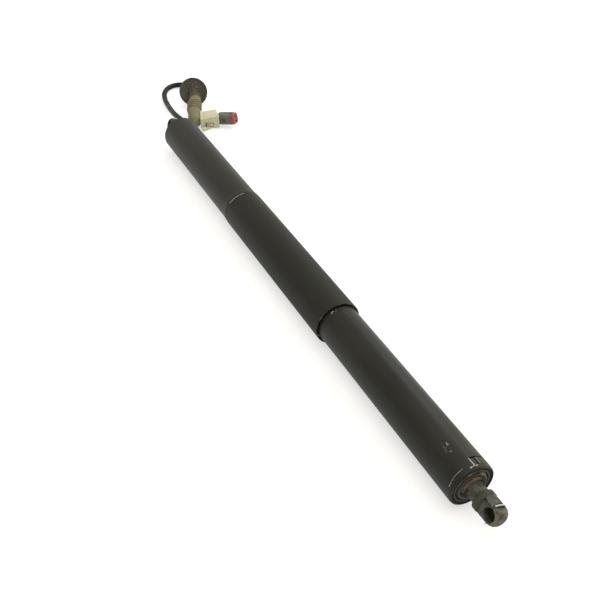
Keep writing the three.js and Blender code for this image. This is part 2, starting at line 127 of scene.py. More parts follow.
def cable():
    curve = bpy.data.curves.new("harness_cable_jacket", "CURVE")
    curve.dimensions = "3D"
    curve.bevel_depth = 1  # each point's radius scales this, and its box is padded by the radius
    curve.bevel_resolution = 6
    curve.resolution_u = 10
    curve.use_fill_caps = True
    spline = curve.splines.new("BEZIER")
    spline.bezier_points.add(len(CABLE_ROUTE) - 1)
    for point, at in zip(spline.bezier_points, CABLE_ROUTE):
        point.co = Vector(at) * MM
        point.radius = CABLE_R * MM
        point.handle_left_type = point.handle_right_type = "AUTO"
    made = bpy.data.objects.new("harness_cable_jacket", curve)
    bpy.context.collection.objects.link(made)
    return made


jacket = piece(cable(), "housing", "cable_jacket", "harness_cable")


# ---------------------------------------------------------------- mesh helpers
def new_object(name, verts, faces, sharp=35):
    """A mesh object from points in mm, smooth except along its sharp edges."""
    mesh = bpy.data.meshes.new(name)
    mesh.from_pydata([Vector(v) * MM for v in verts], [], faces)
    built = bmesh.new()
    built.from_mesh(mesh)
    bmesh.ops.recalc_face_normals(built, faces=built.faces)
    built.to_mesh(mesh)
    built.free()
    smooth(mesh, sharp)
    made = bpy.data.objects.new(name, mesh)
    bpy.context.collection.objects.link(made)
    return made


def smooth(mesh, sharp=35):
    mesh.polygons.foreach_set("use_smooth", [True] * len(mesh.polygons))
    mesh.set_sharp_from_angle(angle=math.radians(sharp))


def apply(made, sharp=35):
    """Turns the object's modifiers into its mesh."""
    bpy.context.view_layer.update()
    seen = made.evaluated_get(bpy.context.evaluated_depsgraph_get())
    mesh = bpy.data.meshes.new_from_object(seen)
    made.modifiers.clear()
    made.data = mesh
    smooth(mesh, sharp)
    return made


def combine(made, other, how):
    """Boolean of two objects, of which the second is used up."""
    modifier = made.modifiers.new("combine", "BOOLEAN")
    modifier.object = other
    modifier.operation = how
    modifier.solver = "EXACT"
    apply(made)
    bpy.data.objects.remove(other)
    return made


def carve(made, *cutters):
    for cutter in cutters:
        combine(made, cutter, "DIFFERENCE")
    return made


def unite(made, *others):
    for other in others:
        combine(made, other, "UNION")
    return made


def soften(made, width, segments=2, angle=32, sharp=50):
    """Rounds the sharp edges."""
    modifier = made.modifiers.new("soften", "BEVEL")
    modifier.width = width * MM
    modifier.segments = segments
    modifier.limit_method = "ANGLE"
    modifier.angle_limit = math.radians(angle)
    modifier.harden_normals = False
    modifier.use_clamp_overlap = True
    return apply(made, sharp)


def round_corners(outline, radius, steps=4):
    """The closed outline with each corner cut back to an arc. A corner on the axis stays."""
    rounded = []
    count = len(outline)
    for i in range(count):
        before, here, after = (Vector(outline[(i + k) % count]) for k in (-1, 0, 1))
        to, fro = before - here, after - here
        turn = to.angle(fro) if to.length and fro.length else math.pi
        if here.y < 1e-6 or turn > math.radians(176):
            rounded.append(tuple(here))
            continue
        cut = min(radius / math.tan(turn / 2), 0.45 * to.length, 0.45 * fro.length)
        start, end = here + to.normalized() * cut, here + fro.normalized() * cut
        for k in range(steps + 1):
            t = k / steps
            point = start.lerp(here, t).lerp(here.lerp(end, t), t)
            rounded.append(tuple(point))
    return rounded


def lathe(name, outline, sides=128, radius=0.0, steps=4, bump=None, on_axis=True, sharp=35):
    """A closed outline of (x, r) turned about the strut's axis, or about X if not on_axis.

    bump(x, angle) moves a point outwards; the angle is in degrees from +Y towards +Z."""
    if radius:
        outline = round_corners(outline, radius, steps)
    lift = AXIS_Z if on_axis else 0
    verts, rings, faces = [], [], []
    for x, r in outline:
        if r < 1e-6:
            rings.append([len(verts)] * sides)
            verts.append((x, 0, lift))
            continue
        rings.append(list(range(len(verts), len(verts) + sides)))
        for k in range(sides):
            a = 2 * math.pi * k / sides
            far = r + (bump(x, math.degrees(a)) if bump else 0)
            verts.append((x, far * math.cos(a), lift + far * math.sin(a)))
    for i, ring in enumerate(rings):
        after = rings[(i + 1) % len(rings)]
        if ring[0] == ring[1] and after[0] == after[1]:
            continue
        for k in range(sides):
            n = (k + 1) % sides
            face = [ring[k], ring[n], after[n], after[k]]
            faces.append([v for j, v in enumerate(face) if v != face[j - 1]])
    return new_object(name, verts, faces, sharp)


def loft(name, rings, closed=False, caps=True, sharp=35):
    """Skins a list of rings of points, which all have the same number of points."""
    count = len(rings[0])
    verts = [v for ring in rings for v in ring]
    faces = []
    last = len(rings) if closed else len(rings) - 1
    for i in range(last):
        a, b = i * count, ((i + 1) % len(rings)) * count
        for k in range(count):
            n = (k + 1) % count
            faces.append([a + k, a + n, b + n, b + k])
    if caps and not closed:
        faces.append(list(range(count)))
        faces.append([(len(rings) - 1) * count + k for k in range(count)])
    return new_object(name, verts, faces, sharp)


def sweep(name, points, radii, sides=12, flat=1.0, sharp=60):
    """A round section carried along points. flat scales the section across its second axis."""
    points = [Vector(p) for p in points]
    if not hasattr(radii, "__len__"):
        radii = [radii] * len(points)
    ways = [(points[min(i + 1, len(points) - 1)] - points[max(i - 1, 0)]).normalized()
            for i in range(len(points))]
    side = ways[0].orthogonal().normalized()
    rings = []
    for i, (at, way, r) in enumerate(zip(points, ways, radii)):
        if i:
            side = ways[i - 1].rotation_difference(way) @ side
        side = (side - way * side.dot(way)).normalized()
        other = way.cross(side) * flat
        rings.append([at + r * (math.cos(a) * side + math.sin(a) * other)
                      for a in (2 * math.pi * k / sides for k in range(sides))])
    return loft(name, rings, sharp=sharp)


def box(name, low, high):
    x, y, z = ((a, b) for a, b in zip(low, high))
    verts = [(x[i], y[j], z[k]) for i in (0, 1) for j in (0, 1) for k in (0, 1)]
    faces = [(0, 1, 3, 2), (4, 6, 7, 5), (0, 4, 5, 1), (2, 3, 7, 6), (0, 2, 6, 4), (1, 5, 7, 3)]
    return new_object(name, verts, faces)


def prism(name, outline, low, high, axis="x"):
    """An outline drawn out along an axis: of (y, z) along x, (x, z) along y or (x, y) along z."""
    put = {"x": lambda a, b, c: (c, a, b), "y": lambda a, b, c: (a, c, b),
           "z": lambda a, b, c: (a, b, c)}[axis]
    return loft(name, [[put(a, b, c) for a, b in outline] for c in (low, high)])


def turned(made, angle, centre=(0, 0, AXIS_Z)):
    """Turns a mesh about the strut's axis, in degrees from +Y towards +Z."""
    middle = Vector(centre) * MM
    about = Matrix.Translation(middle) @ Matrix.Rotation(math.radians(angle), 4, "X")
    made.data.transform(about @ Matrix.Translation(-middle))
    return made


def moved(made, at, turn=Matrix.Identity(3)):
    made.data.transform(Matrix.Translation(Vector(at) * MM) @ turn.to_4x4())
    return made


def towards(direction):
    return Vector((1, 0, 0)).rotation_difference(Vector(direction)).to_matrix()


def sector(name, x0, x1, r0, r1, start, end, steps=10):
    """A piece of a ring between two angles."""
    turns = [math.radians(start + (end - start) * k / steps) for k in range(steps + 1)]
    outline = [(r1 * math.cos(a), AXIS_Z + r1 * math.sin(a)) for a in turns]
    outline += [(r0 * math.cos(a), AXIS_Z + r0 * math.sin(a)) for a in reversed(turns)]
    return prism(name, outline, x0, x1)


# ---------------------------------------------------------------- tubes
def motor_tube():
    """Flares to a shoulder, where the sleeve's rim covers its end."""
    inner = MOTOR_TUBE_R - 1.1
    flare = [(SHOULDER_X - 0.25 - 10 * t, MOTOR_TUBE_R + 0.72 * math.cos(math.pi / 2 * t) ** 1.3)
             for t in (0, 0.2, 0.4, 0.6, 0.8)]
    return lathe("motor_tube_skin", [
        (MOTOR_RIM_X, inner), (SHOULDER_X + 3, inner), (SHOULDER_X + 3, inner + 0.3),
        (SHOULDER_X - 0.25, inner + 0.3), *flare, (SHOULDER_X - 11, MOTOR_TUBE_R),
        (MOTOR_RIM_X, MOTOR_TUBE_R)], radius=0.4)


def sleeve():
    inner = SLEEVE_R - 1.25
    return lathe("sleeve_skin", [
        (SHOULDER_X, inner), (MOUTH_X, inner), (MOUTH_X, SLEEVE_R), (SHOULDER_X, SLEEVE_R)],
        radius=0.35)


def rod_tube():
    inner = ROD_TUBE_R - 1.1
    tube = lathe("rod_tube_skin", [
        (MOUTH_X - 28, inner), (WINDOW[0] - 5, inner), (ROD_RIM_X - 1.4, inner),
        (ROD_RIM_X - 0.5, inner - 0.6),
        (ROD_RIM_X, inner - 0.3), (ROD_RIM_X, inner + 0.3), (ROD_RIM_X - 0.5, ROD_TUBE_R - 0.3),
        (ROD_RIM_X - 2.2, ROD_TUBE_R), (WINDOW[0] - 5, ROD_TUBE_R), (MOUTH_X - 28, ROD_TUBE_R)],
        radius=0.4)
    x0, x1, start, end = WINDOW
    carve(tube, sector("cutter", x0, x1, inner - 2, ROD_TUBE_R + 2, start, end, 16))
    return soften(tube, 0.16)


# ---------------------------------------------------------------- ball sockets
def socket(name, neck):
    """A socket with its tip at +X, from the end of its stud to its blunt nose."""
    ball, ledge = TIP_X - BALL_FROM_TIP, TIP_X - LEDGE_FROM_TIP
    body = lathe(name, [
        (neck - 14, 0), (neck - 14, 4), (neck, 4), (neck, 6.7), (ledge, 6.7), (ledge, 7.7),
        (ledge + 0.9, 8.65), (ledge + 4.3, 8.7), (ledge + 4.8, 8.25), (TIP_X - 6.2, 8.2),
        (TIP_X - 4.2, 7.9), (TIP_X - 2.3, 6.9), (TIP_X - 0.9, 5.3), (TIP_X - 0.3, 3.4),
        (TIP_X, 0)], sides=72, radius=0.35, steps=3)
    cavity = lathe("cutter", [(ball + BALL_R * math.cos(t), BALL_R * math.sin(t))
                              for t in (math.radians(180 - 7.5 * k) for k in range(25))], 48)
    bore = lathe("cutter", [(0, 0), (0, 4.85), (5.3, 4.85), (6, 5.3), (9, 5.6), (9, 0)], 48,
                 on_axis=False)
    moved(bore, (ball, 0, AXIS_Z), Matrix.Rotation(math.radians(MOUTH_ANGLE - 90), 3, "X")
          @ Matrix.Rotation(math.radians(-90), 3, "Y"))
    seat = turned(box("cutter", (ledge + 5, -9, AXIS_Z + 6), (TIP_X + 1, 9, AXIS_Z + 12)),
                  MOUTH_ANGLE - 90)
    groove = lathe("cutter", [(ball - 0.85, 7.3), (ball + 0.85, 7.3), (ball + 0.85, 10),
                              (ball - 0.85, 10)], 72)
    slot_x = (ledge + 4.9, ball - 1.4)
    drop = [(slot_x[0] + 1.4 - 1.4 * math.cos(t), 1.1 * math.sin(t))
            for t in (math.radians(-90 + 22.5 * k) for k in range(9))]
    drop += [(slot_x[1], 0.3), (slot_x[1], -0.3)]
    slot = turned(prism("cutter", drop, AXIS_Z + 6.6, AXIS_Z + 10, "z"), SLOT_ANGLE - 90)
    facet = turned(box("cutter", (ball - 1.3, -7.3, AXIS_Z + 6.4),
                       (TIP_X + 2.1, 7.3, AXIS_Z + 11.7)), FACET_ANGLE - 90)
    carve(body, facet, seat, bore, cavity, groove, slot)
    return soften(body, 0.18)


def clip(name):
    """Wire clip: a bow that closes over the ball from the side away from its mouth."""
    x, radius = TIP_X - BALL_FROM_TIP, 7.95
    bow = [(x, radius * math.cos(a), AXIS_Z + radius * math.sin(a))
           for a in (math.radians(180 + 7.5 * k) for k in range(25))]
    leg = [(x, -radius + 0.1, AXIS_Z + z) for z in (4.2, 3, 1.8, 0.8)]
    end = [(x, radius - 0.1, AXIS_Z + z) for z in (0.8, 1.8, 3, 4.2)]
    return turned(sweep(name, leg + bow + end, 0.55, 12), MOUTH_ANGLE - 90)


def flip(made):
    """Turned end for end, with the ball's mouth on the same side as before."""
    middle = Matrix.Translation((0, 0, AXIS_Z * MM))
    about = Matrix.Rotation(math.radians(2 * MOUTH_ANGLE - 180), 4, "X")
    made.data.transform(middle @ about @ Matrix.Rotation(math.pi, 4, "Z") @ middle.inverted())
    return made


# ---------------------------------------------------------------- rod end
CAP_R = ROD_TUBE_R - 1.1 - 0.3
CAP_FACE = ROD_RIM_X - 3.5


def rod_end_cap():
    f = CAP_FACE
    face = lathe("rod_end_cap_face", [
        (f - 21, 4.4), (f, 4.4), (f, 9.3), (f + 3.9, 9.5), (f + 4.1, 10.4), (f + 3.9, 11.5),
        (f + 2.6, 11.9), (f + 1.3, 12.3), (f + 1.3, 12.8), (f + 3.1, 13.1), (f + 3.3, 13.7),
        (f + 3.0, 14.4), (f + 1.2, 14.6), (f + 1.2, 15.0), (f + 2.7, 15.2), (f + 2.9, 15.6),
        (f + 1.8, 16.05), (f + 1.2, CAP_R), (f - 21, CAP_R)], radius=0.15, steps=2)
    x0, x1, start, _ = WINDOW
    lug = soften(sector("lug", x0 + 0.5, x1 - 0.35, CAP_R - 1, ROD_TUBE_R - 0.25, start + 1, 70),
                 0.25)
    return unite(face, lug)


def rod_washer():
    """Rusty ring round the neck, crumbly along the arc that faces up."""
    def crumble(x, angle):
        worn = max(0, math.cos(math.radians(angle - 148))) ** 0.6
        grain = noise.noise(Vector((x * 1.7, math.cos(math.radians(angle)) * 9,
                                    math.sin(math.radians(angle)) * 9)))
        fine = noise.noise(Vector((x * 4, math.cos(math.radians(angle)) * 22,
                                   math.sin(math.radians(angle)) * 22)))
        return worn * (0.5 * grain + 0.3 * fine) if x > CAP_FACE + 3.4 else 0
    steps = [CAP_FACE + 3 + 0.18 * k for k in range(11)]
    outline = [(CAP_FACE + 0.3, 7)] + [(x, 7) for x in steps]
    outline += [(steps[-1], 7 + 0.22 * k) for k in range(1, 10)]
    outline += [(x, 9.15) for x in reversed(steps)] + [(CAP_FACE + 0.3, 9.15)]
    return lathe("rod_washer_ring", outline, 160, bump=crumble, sharp=60)


# ---------------------------------------------------------------- motor end
def motor_end_cap():
    x = MOTOR_RIM_X
    cap = lathe("motor_end_cap_face", [
        (x + 15, 4.4), (x - 0.2, 4.4), (x - 0.2, 8.6), (x + 1.6, 8.8), (x + 1.6, 11.4),
        (x + 1.2, 11.5), (x + 1.2, 12.1), (x + 1.6, 12.2), (x + 1.6, 16.2), (x + 0.4, 16.4),
        (x + 0.4, 17.2), (x + 1.2, 17.6), (x + 15, 17.6)], radius=0.2, steps=2)
    hole = lathe("cutter", [(x - 5, 0), (x + 20, 0), (x + 20, 4.15), (x - 5, 4.15)], 48)
    ribs = [sector("rib", x + 0.7, x + 2.4, 9.2, 16, a, a + 3, 3) for a in range(44, 359, 45)]
    unite(cap, *ribs)
    carve(cap, moved(hole, (0, CABLE_EXIT[1], 0)))
    return soften(cap, 0.15)


def cable_gland():
    x = MOTOR_RIM_X
    rings = []
    for k in range(4):
        at = x - 4.2 - 2.6 * k
        rings += [(at, 4.35 - 0.12 * k), (at - 0.3, 4.0 - 0.12 * k), (at - 1.3, 3.95 - 0.12 * k),
                  (at - 1.6, 4.3 - 0.12 * k)]
    gland = lathe("cable_gland_body", [
        (x + 5, 0), (x + 5, 3.85), (x - 0.6, 3.85), (x - 0.6, 4.45), (x - 2.2, 4.45),
        (x - 2.8, 4.3), *rings, (CABLE_EXIT[0] + 0.3, 3.5), (CABLE_EXIT[0] + 0.3, 0)],
        48, radius=0.15, steps=2)
    return moved(gland, (0, CABLE_EXIT[1], 0))


# ---------------------------------------------------------------- harness
def disc_point(out, below, aside=0.0):
    """A point given from the disc's middle: out of its face, down it and across it."""
    across = DISC_FACES.cross(DISC_DOWN)
    return DISC_AT + DISC_FACES * out + DISC_DOWN * below + across * aside


def grommet():
    """Dished disc with two lips, a ridge that runs into a ribbed neck, and a hub behind."""
    disc = lathe("grommet_body", [
        (-2.3, 0), (-2.3, 16.1), (-2.1, 17.2), (-1.1, 17.4), (-0.5, 16.4), (0.1, 16.2),
        (0.7, 16.9), (1.6, 17.0), (2.4, 16.3), (2.4, 15.2), (1.5, 14.4), (0.9, 12.5), (0.8, 9),
        (1.1, 0)], 96, radius=0.5, on_axis=False, sharp=60)
    moved(disc, DISC_AT, towards(DISC_FACES))
    rings = []
    for k in range(25):
        t = k / 24
        below = -12.4 + 20 * t
        width = 0.5 + 3.9 * math.sin(math.pi / 2 * min(1, t * 1.1)) ** 0.85
        height = 0.5 + 6.6 * t ** 1.15
        rings.append([disc_point(0.6 + height * math.sin(math.pi * n / 16) ** 0.8, below,
                                 width * math.cos(math.pi * n / 16)) for n in range(17)])
    ridge = loft("ridge", rings, sharp=60)
    edges = []
    for side in (-1, 1):
        route = []
        for k in range(17):
            t = k / 16
            aside = 1.0 + 3.7 * math.sin(math.pi / 2 * min(1, 1.1 * t))
            route.append(disc_point(1.3 + 2.2 * t, -12 + 19 * t, side * aside))
        radii = [0.35 + 0.3 * math.sin(math.pi * k / 16) for k in range(17)]
        edges.append(sweep("edge", route, radii, 10))
    hub = lathe("hub", [(-10.3, 0), (-10.3, 4.3), (-7, 4.8), (-3.4, 6.2), (-2, 7.2), (-2, 0)], 48,
                radius=0.4, on_axis=False)
    moved(hub, DISC_AT, towards(DISC_FACES))
    start = disc_point(1.6, 6.5)
    length = (NECK_AT - start).length
    outline = [(0, 0), (0, 7.5), (length - 17.4, 7.7)]
    for k in range(4):
        x = length - (4 - k) * 4.2
        outline += [(x - 0.5, 7.2), (x + 0.3, 8.5), (x + 1.2, 8.85), (x + 2.3, 8.7), (x + 3.1, 7.2)]
    outline += [(length, 7.6), (length, 0)]
    neck = lathe("neck", outline, 64, radius=0.5, steps=3, on_axis=False, sharp=60)
    moved(neck, start, towards(NECK_AT - start))
    return unite(disc, ridge, hub, neck, *edges)


def harness_boot():
    """Smooth sleeve with a lip at the neck, and a rounded end over the elbow."""
    way = (BOOT_AT - NECK_AT).normalized()
    length = (BOOT_AT - NECK_AT).length
    r = BOOT_R
    outline = [(0.7, 0), (0.7, r - 0.2), (1.5, r), (2.9, r), (3.7, r - 0.2)]
    outline += [(3.7 + (length - 3.7) * t, r - 0.2 + 0.15 * t) for t in (0.25, 0.5, 0.75, 1)]
    outline += [(length + r * math.sin(a), (r - 0.05) * math.cos(a))
                for a in (math.radians(9 * k) for k in range(1, 11))]
    boot = lathe("harness_boot_skin", outline, 64, on_axis=False, sharp=60)
    moved(boot, NECK_AT, towards(way))
    return boot


POCKET = {"x": (-4.4, 5.6), "z": (2.2, 7.6)}


def in_shell(made):
    return moved(made, SHELL_AT, Matrix.Rotation(SHELL_YAW, 3, "Z"))


def connector_shell():
    """Cream shell: X towards the plug, Y away from the strut's side, Z up."""
    side = [(-8.5, 0), (16, 0), (16, 16.2), (-8.5, 12.4)]
    body = prism("connector_shell_body", side, -10.4, 10.4, "y")
    face = moved(box("cutter", (0, -20, -5), (12, 20, 20)), (11, 0, 0),
                 Matrix.Rotation(math.radians(8), 3, "Z"))
    soften(carve(body, face), 1.5, 4)
    flange = soften(box("flange", (-10, -11.4, 0), (-7, 11.4, 13.4)), 1.1, 3)
    tail = soften(prism("tail", [(-9.4, -10), (-8.9, -13), (-7.8, -16.7), (-7.1, -17.2),
                                 (-6.3, -16.9), (3, -10), (3, -8), (-9.4, -8)], 0.2, 3.4, "z"),
                  0.5, 3)
    brow = soften(box("brow", (-5.6, -10.9, 8.2), (6.8, -9.8, 9.2)), 0.3)
    unite(body, flange, tail, brow)
    pocket = box("cutter", (POCKET["x"][0], -12, POCKET["z"][0]),
                 (POCKET["x"][1], -7.6, POCKET["z"][1]))
    bore = box("cutter", (2.4, -7.2, 2.6), (16, 7.2, 11))
    line = box("cutter", (-6.6, -11, 11.8), (-6.2, 11, 15))
    carve(body, pocket, bore, line)
    in_shell(body)
    room = BOOT_R + 0.3
    bulb = lathe("cutter", [(room * math.cos(a), room * math.sin(a))
                            for a in (math.radians(9 * k) for k in range(21))], 48,
                 on_axis=False)
    trunk = lathe("cutter", [(0, 0), (0, room), (22, room), (22, 0)], 48, on_axis=False)
    moved(bulb, BOOT_AT)
    moved(trunk, BOOT_AT, towards(NECK_AT - BOOT_AT))
    cover = in_plug(rounded_bar("cutter", [(-4.2, 12.9, 13.3, 3.6), (9, 12.9, 13.3, 3.6)]))
    plug = in_plug(rounded_bar("cutter", [(-0.4, 13.4, 13.4, 3.4), (9, 13.4, 13.4, 3.4)]))
    return soften(carve(body, bulb, trunk, cover, plug), 0.22, 2)


def connector_latch():
    x0 = POCKET["x"][0] + 1.6
    pad = box("connector_latch_pad", (x0, -10.7, 2.8), (5, -8.3, 7))
    carve(pad, box("cutter", (x0 + 1.1, -11.2, 3.6), (x0 + 2.3, -9.9, 6.2)),
          *[box("cutter", (x0 + 3.4 + 1.1 * k, -11, 2), (x0 + 3.9 + 1.1 * k, -10.45, 8))
            for k in range(3)])
    return in_shell(soften(pad, 0.3, 3))


def rounded_outline(width, height, radius, steps=8):
    y, z = width / 2 - radius, height / 2 - radius
    corners = ((y, z, 0), (-y, z, 90), (-y, -z, 180), (y, -z, 270))
    return [(cy + radius * math.cos(a), cz + radius * math.sin(a))
            for cy, cz, start in corners
            for a in (math.radians(start + 90 * k / steps) for k in range(steps + 1))]


def rounded_bar(name, sections):
    """Sections of (x, width, height, corner radius), skinned along X."""
    return loft(name, [[(x, y, z) for y, z in rounded_outline(w, h, r)]
                       for x, w, h, r in sections])


def in_plug(made):
    turn = Matrix.Rotation(PLUG_YAW, 3, "Z") @ Matrix.Rotation(-PLUG_PITCH, 3, "Y")
    return moved(made, PLUG_AT, turn)


def connector_seal():
    """Three soft ribs."""
    sections = [(-3.8, 11.2, 11.6, 3.0)]
    for k in range(3):
        x = -3.6 + 1.15 * k
        sections += [(x, 11.6, 12.0, 3.1), (x + 0.2, 12.3, 12.7, 3.4), (x + 0.6, 12.3, 12.7, 3.4),
                     (x + 0.8, 11.6, 12.0, 3.1)]
    sections += [(-0.3, 11.6, 12.0, 3.0)]
    return in_plug(rounded_bar("connector_seal_ribs", sections))


def connector_housing():
    housing = rounded_bar("connector_housing_body", [
        (0, 11.4, 11.4, 2.6), (0.25, 12.2, 12.2, 2.9), (0.8, 12.6, 12.6, 3.0),
        (12.7, 12.6, 12.6, 3.0), (12.8, 12.1, 12.1, 2.9), (13.3, 12.1, 12.1, 2.9),
        (13.4, 12.6, 12.6, 3.0),
        (14.7, 12.5, 12.5, 3.0), (15.2, 12.1, 12.1, 2.9), (15.4, 11.6, 11.6, 2.7)])
    notches = [box("cutter", (11, -1.6, z), (14.2, 1.6, z + 2)) for z in (-7.1, 5.4)]
    notches += [box("cutter", (3, y, -2.4), (8.4, y + 1.2, 2.4)) for y in (-6.9, 5.7)]
    carve(housing, *notches)
    return in_plug(soften(housing, 0.2))


def connector_wedge():
    wedge = rounded_bar("connector_wedge_body", [
        (15.7, 11.2, 11.8, 2.9), (15.9, 11.6, 12.2, 3.0), (17.9, 11.6, 12.2, 3.0),
        (18.3, 11.2, 11.8, 2.8), (18.5, 10.5, 11.1, 2.5)])
    wells = [box("cutter", (16.3, -1.5, z - 1.6), (20, 1.5, z + 1.6)) for z in (-3, 3)]
    carve(wedge, *wells, box("cutter", (18.1, -3.4, -0.35), (20, 3.4, 0.35)))
    return in_plug(soften(wedge, 0.25))


# ---------------------------------------------------------------- spring and spindle
def return_spring():
    steps = SPRING_TURNS * 30
    x0, x1 = SPRING_X[0] + SPRING_WIRE_R, SPRING_X[1] - SPRING_WIRE_R
    points = []
    for k in range(steps + 1):
        t = k / steps
        a = 2 * math.pi * SPRING_TURNS * t
        points.append((x0 + (x1 - x0) * t, SPRING_R * math.cos(a), AXIS_Z + SPRING_R * math.sin(a)))
    return sweep("return_spring_wire", points, SPRING_WIRE_R, 10)


def spindle():
    """Four-start thread of 16 mm lead behind a plain journal."""
    sides, rings = 40, []

    def ring(x, radius):
        return [(x, r * math.cos(a), AXIS_Z + r * math.sin(a))
                for a, r in ((2 * math.pi * k / sides, radius(x, 2 * math.pi * k / sides))
                             for k in range(sides))]

    def thread(x, a):
        wave = math.sin(2 * math.pi * x / 4 - 4 * a)
        return 4.55 + 0.45 * max(-1, min(1, 1.8 * wave))

    rings = [ring(x, lambda x, a, r=r: r) for x, r in
             ((-127.8, 5.7), (-127.4, 6.1), (-113.0, 6.1), (-112.6, 5.7), (-112.5, 4.2),
              (-110.0, 4.2))]
    rings += [ring(-109.6 + 0.5 * k, thread) for k in range(352)]
    rings += [ring(67, lambda x, a: 4.0), ring(68, lambda x, a: 3.6)]
    return loft("spindle_thread", rings, sharp=60)


# ---------------------------------------------------------------- materials
class Finish:
    """A procedural material whose pattern is fixed to the piece, in metres."""

    def __init__(self, name):
        self.material = bpy.data.materials.new(name)
        self.material.use_nodes = True
        self.nodes = self.material.node_tree.nodes
        self.links = self.material.node_tree.links
        self.shader = self.nodes["Principled BSDF"]
        self.place = self.nodes.new("ShaderNodeTexCoord").outputs["Object"]
        split = self.nodes.new("ShaderNodeSeparateXYZ")
        self.links.new(self.place, split.inputs[0])
        self.x, self.y, self.z = split.outputs

    def set(self, socket, value):
        if isinstance(value, bpy.types.NodeSocket):
            self.links.new(value, socket)
        else:
            socket.default_value = value

    def calc(self, how, a, b=0.0, clamp=False):
        node = self.nodes.new("ShaderNodeMath")
        node.operation = how
        node.use_clamp = clamp
        self.set(node.inputs[0], a)
        self.set(node.inputs[1], b)
        return node.outputs[0]

    def stretched(self, scale):
        node = self.nodes.new("ShaderNodeMapping")
        self.links.new(self.place, node.inputs["Vector"])
        node.inputs["Scale"].default_value = scale
        return node.outputs[0]

    def noise(self, scale, detail=4.0, rough=0.55, stretch=None):
        node = self.nodes.new("ShaderNodeTexNoise")
        node.inputs["Scale"].default_value = scale
        node.inputs["Detail"].default_value = detail
        node.inputs["Roughness"].default_value = rough
        self.links.new(self.stretched(stretch) if stretch else self.place, node.inputs["Vector"])
        return node.outputs["Fac"]

    def cells(self, scale, stretch=None):
        node = self.nodes.new("ShaderNodeTexVoronoi")
        node.inputs["Scale"].default_value = scale
        self.links.new(self.stretched(stretch) if stretch else self.place, node.inputs["Vector"])
        return node.outputs["Distance"]

    def ramp(self, value, low, high, start=0.0, end=1.0):
        """Goes smoothly from start at low to end at high."""
        node = self.nodes.new("ShaderNodeMapRange")
        node.interpolation_type = "SMOOTHSTEP"
        for socket, number in zip(("From Min", "From Max", "To Min", "To Max"),
                                  (low, high, start, end)):
            node.inputs[socket].default_value = number
        self.set(node.inputs["Value"], value)
        return node.outputs["Result"]

    def mix(self, share, a, b):
        node = self.nodes.new("ShaderNodeMix")
        node.data_type = "RGBA"
        self.set(node.inputs["Factor"], share)
        for socket, colour in zip(("A", "B"), (a, b)):
            target = [s for s in node.inputs if s.name == socket and s.type == "RGBA"][0]
            if isinstance(colour, bpy.types.NodeSocket):
                self.links.new(colour, target)
            else:
                target.default_value = (*colour, 1)
        return [s for s in node.outputs if s.type == "RGBA"][0]

    def both(self, *masks):
        result = masks[0]
        for mask in masks[1:]:
            result = self.calc("MULTIPLY", result, mask)
        return result

    def band(self, value, low, high, soft):
        """One between low and high, zero outside, with soft edges."""
        return self.calc("MULTIPLY", self.ramp(value, low - soft, low + soft),
                         self.ramp(value, high - soft, high + soft, 1, 0))

    def angle(self):
        """Degrees about the strut's axis, from +Y towards +Z."""
        up = self.calc("SUBTRACT", self.z, AXIS_Z * MM)
        return self.calc("MULTIPLY", self.calc("ARCTAN2", up, self.y), 180 / math.pi)

    def edges(self, low=0.52, high=0.58):
        """One on convex edges."""
        node = self.nodes.new("ShaderNodeNewGeometry")
        return self.ramp(node.outputs["Pointiness"], low, high)

    def bump(self, *layers):
        """Layers of (height, strength, distance in metres)."""
        normal = None
        for height, strength, distance in layers:
            node = self.nodes.new("ShaderNodeBump")
            node.inputs["Strength"].default_value = strength
            node.inputs["Distance"].default_value = distance
            self.links.new(height, node.inputs["Height"])
            if normal:
                self.links.new(normal, node.inputs["Normal"])
            normal = node.outputs["Normal"]
        self.links.new(normal, self.shader.inputs["Normal"])

    def done(self, colour, rough, metal=0.0, specular=0.5):
        self.set(self.shader.inputs["Base Color"], colour)
        self.set(self.shader.inputs["Roughness"], rough)
        self.set(self.shader.inputs["Metallic"], metal)
        self.shader.inputs["Specular IOR Level"].default_value = specular
        return self.material


def dusty_paint(name, dark, dust, extras=None, rough=0.5, specular=0.2):
    """Satin black coating on a tube: long handling marks, dust, specks and fine grain."""
    f = Finish(name)
    cloud = f.noise(14, 5, 0.6, (0.5, 1.6, 1.6))
    streak = f.noise(60, 4, 0.7, (0.12, 7, 7))
    grain = f.noise(2600, 2)
    colour = f.mix(f.ramp(cloud, 0.35, 0.72), dark, dust)
    colour = f.mix(f.ramp(streak, 0.52, 0.78, 0, 0.35), colour, [c * 1.7 for c in dust])
    colour = f.mix(f.ramp(grain, 0.3, 0.75, 0, 0.25), colour, [c * 0.4 for c in dark])
    specks = f.both(f.ramp(f.cells(420), 0.10, 0.02), f.ramp(f.noise(31, 2), 0.60, 0.66))
    colour = f.mix(f.calc("MULTIPLY", specks, 0.7), colour, (0.16, 0.15, 0.115))
    if extras:
        colour = extras(f, colour)
    roughness = f.ramp(cloud, 0.3, 0.75, rough - 0.06, rough + 0.1)
    roughness = f.calc("ADD", roughness, f.ramp(streak, 0.5, 0.8, 0, 0.08))
    f.bump((grain, 0.12, 0.0001), (f.noise(420, 3), 0.10, 0.0003), (streak, 0.05, 0.0002))
    return f.done(colour, roughness, 0.0, specular)


